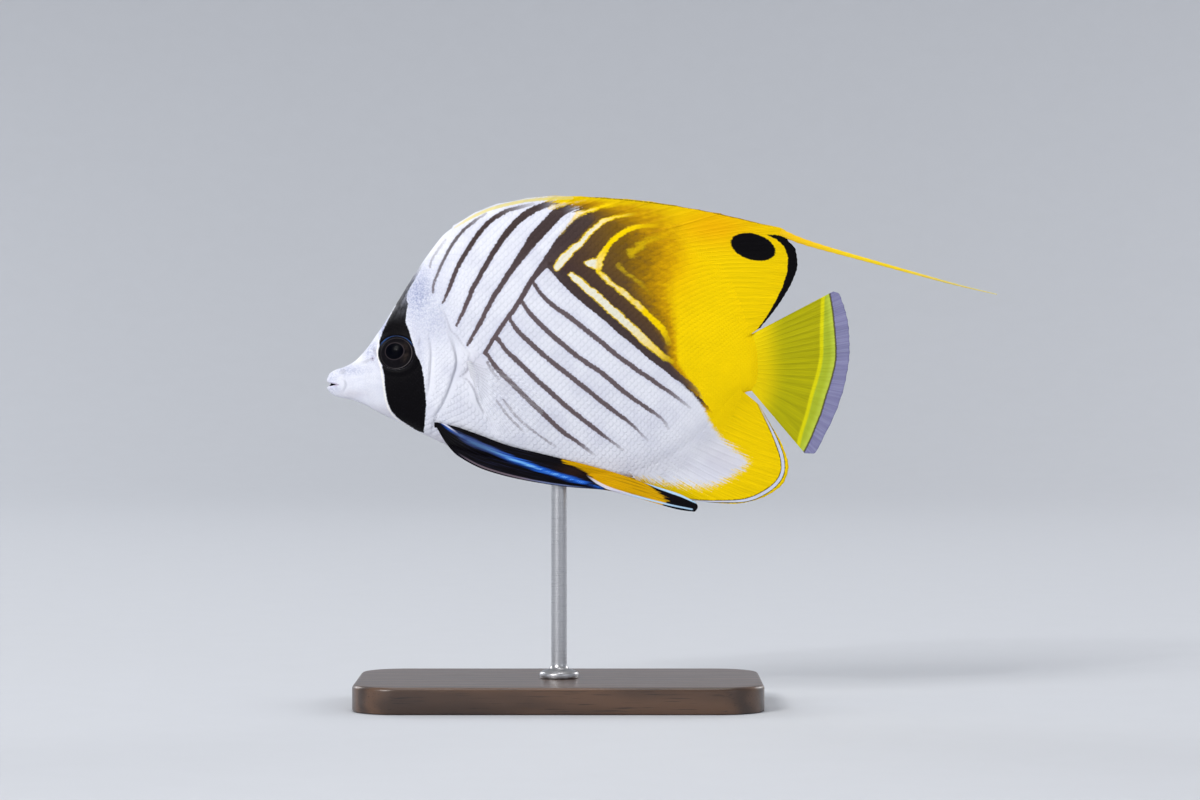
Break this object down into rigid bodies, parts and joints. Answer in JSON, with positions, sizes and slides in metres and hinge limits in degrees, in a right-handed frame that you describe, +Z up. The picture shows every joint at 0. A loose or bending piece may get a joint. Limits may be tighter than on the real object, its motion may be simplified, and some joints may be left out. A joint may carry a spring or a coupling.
{
  "type": "threadfin butterflyfish",
  "caption": "Life-size still model of a deep-bodied reef fish with a pointed snout, spread fins and a long thread behind its dorsal fin, held over a flat base by a rod.",
  "frame": {"origin": "middle of the base's underside, under the rod", "axes": "-X towards the fish's snout and +X towards its tail, +Y towards its right flank, +Z up"},
  "size_m": [0.2048, 0.072, 0.1556],
  "materials": {
    "skin_white": "satin scaled skin, white with dark stripes ahead and yellow behind",
    "skin_yellow": "satin scaled skin, yellow",
    "fin_yellow": "satin rayed membrane, yellow",
    "fin_clear": "clear rayed membrane",
    "fin_black": "satin rayed membrane, black with a blue spine",
    "eye": "polished dark eyeball",
    "base_wood": "dark satin varnish",
    "rod_steel": "brushed"
  },
  "bodies": {
    "root": {"head": "skin_white", "torso": "skin_white", "tail_stalk": "skin_yellow", "eye_left": "eye", "eye_right": "eye", "dorsal_fin_spiny": "fin_yellow", "dorsal_fin_soft": "fin_yellow", "dorsal_thread": "fin_yellow", "anal_fin": "fin_yellow", "tail_fin": "fin_yellow", "pectoral_fin_left": "fin_clear", "pectoral_fin_right": "fin_clear", "pelvic_fin_left": "fin_black", "pelvic_fin_right": "fin_black", "stand_base": "base_wood", "stand_rod": "rod_steel"}
  },
  "joints": []
}
